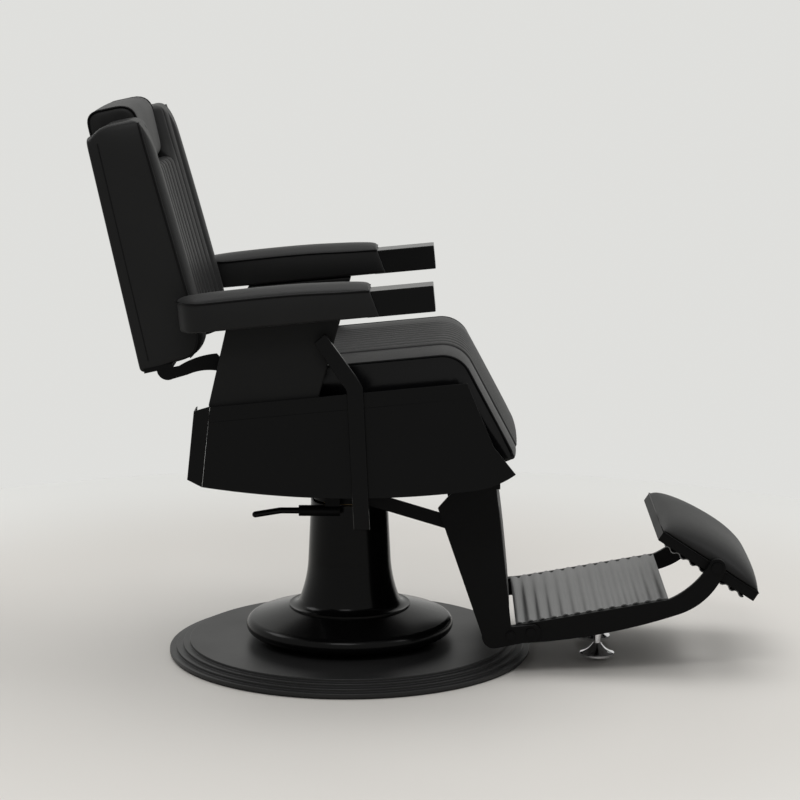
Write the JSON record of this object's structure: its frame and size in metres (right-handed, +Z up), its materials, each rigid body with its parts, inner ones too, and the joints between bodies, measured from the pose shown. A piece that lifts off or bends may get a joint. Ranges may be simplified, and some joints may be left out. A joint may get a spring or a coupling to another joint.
{
  "type": "barber chair",
  "caption": "Upholstered barber chair with channelled cushions on a round base, with hydraulic lift, swivel, reclining back linked to the leg rest, sliding head rest and flip-over foot pad.",
  "frame": {"origin": "centre of the round base's underside, on the floor", "axes": "+X the way the sitter faces, +Y the sitter's left, +Z up"},
  "size_m": [1.2459, 0.7, 1.0591],
  "materials": {
    "gloss_black": "gloss",
    "satin_black": "satin",
    "upholstery": "satin",
    "covered_panel": "satin",
    "rubber": "matte",
    "steel": "satin",
    "bronze": "satin",
    "board": "matte",
    "chrome": "polished",
    "tread_metal": "satin"
  },
  "bodies": {
    "base": {"floor_mat": "rubber", "base_plate": "satin_black", "base_bell": "gloss_black", "column_cover": "gloss_black", "pump_cylinder": "steel", "cylinder_bolts": "steel", "ram_guide_bush": "bronze", "ram_wiper_seal": "rubber"},
    "ram": {"lift_ram": "steel", "thrust_washer": "bronze"},
    "seat": {"swivel_hub": "satin_black", "hub_plate": "satin_black", "cross_tubes": "satin_black", "seat_cleats": "board", "side_plates": "satin_black", "pivot_pins": "steel", "skirt_standoffs": "satin_black", "seat_board": "board", "seat_cushion": "upholstery", "skirt_right": "gloss_black", "skirt_left": "gloss_black", "rear_panel": "gloss_black", "arm_panel_right": "covered_panel", "arm_panel_left": "covered_panel", "arm_bar_right": "gloss_black", "arm_bar_left": "gloss_black", "arm_pad_right": "upholstery", "arm_pad_left": "upholstery", "arm_screws": "satin_black", "lever_hanger": "satin_black", "release_bracket": "satin_black", "gas_spring_body": "satin_black"},
    "pump_lever": {"pump_lever": "gloss_black", "pump_lever_shaft": "steel"},
    "release_lever": {"release_lever": "gloss_black"},
    "gas_rod": {"gas_spring_rod": "steel"},
    "back": {"back_arm_right": "satin_black", "back_arm_left": "satin_black", "back_rails": "satin_black", "back_board": "board", "back_cushion": "upholstery", "back_rear_panel": "covered_panel", "headrest_sleeve": "satin_black"},
    "headrest": {"headrest_post": "steel", "headrest_board": "board", "headrest_pad": "upholstery"},
    "leg": {"leg_plates": "satin_black", "leg_bolts": "satin_black", "calf_board": "covered_panel", "calf_pad": "upholstery", "foot_arms": "satin_black", "foot_plate": "tread_metal", "foot_stay": "satin_black", "support_feet": "chrome"},
    "links": {"link_bars": "satin_black"},
    "flip": {"flip_tray": "satin_black", "flip_tread": "tread_metal", "flip_pad": "upholstery", "flip_bolts": "satin_black"}
  },
  "joints": [
    {"name": "lift", "type": "slide", "parent": "base", "child": "ram", "axis": [0, 0, 1], "range_m": [0, 0.15]},
    {"name": "swivel", "type": "hinge", "parent": "ram", "child": "seat", "pos_m": [0, 0, 0.304], "axis": [0, 0, 1], "continuous": true},
    {"name": "recline", "type": "hinge", "parent": "seat", "child": "back", "pos_m": [-0.168, 0, 0.521], "axis": [0, -1, 0], "range_deg": [0, 50]},
    {"name": "headrest_slide", "type": "slide", "parent": "back", "child": "headrest", "axis": [-0.2113, 0, 0.9774], "range_m": [0, 0.12]},
    {"name": "leg_lift", "type": "hinge", "parent": "seat", "child": "leg", "pos_m": [0.255, 0, 0.393], "axis": [0, -1, 0], "range_deg": [0, 50]},
    {"name": "link_pivot", "type": "hinge", "parent": "leg", "child": "links", "pos_m": [0.21, 0, 0.289], "axis": [0, -1, 0], "range_deg": [-50, 0]},
    {"name": "flip", "type": "hinge", "parent": "leg", "child": "flip", "pos_m": [0.692, 0, 0.21], "axis": [0, 1, 0], "range_deg": [0, 180]},
    {"name": "pump_stroke", "type": "hinge", "parent": "seat", "child": "pump_lever", "pos_m": [0.033, -0.3, 0.319], "axis": [0, 1, 0], "range_deg": [-15, 30]},
    {"name": "release_pull", "type": "slide", "parent": "seat", "child": "release_lever", "axis": [-1, 0, 0], "range_m": [0, 0.012], "stiffness_N_per_m": 600},
    {"name": "gas_slide", "type": "slide", "parent": "seat", "child": "gas_rod", "axis": [1, 0, 0], "range_m": [0, 0.0958]}
  ],
  "couplings": [
    {"joint": "leg_lift", "follows": "recline", "ratio": 1},
    {"joint": "link_pivot", "follows": "recline", "ratio": -1},
    {"joint": "gas_slide", "follows": "recline", "m_per_rad": 0.1097}
  ]
}
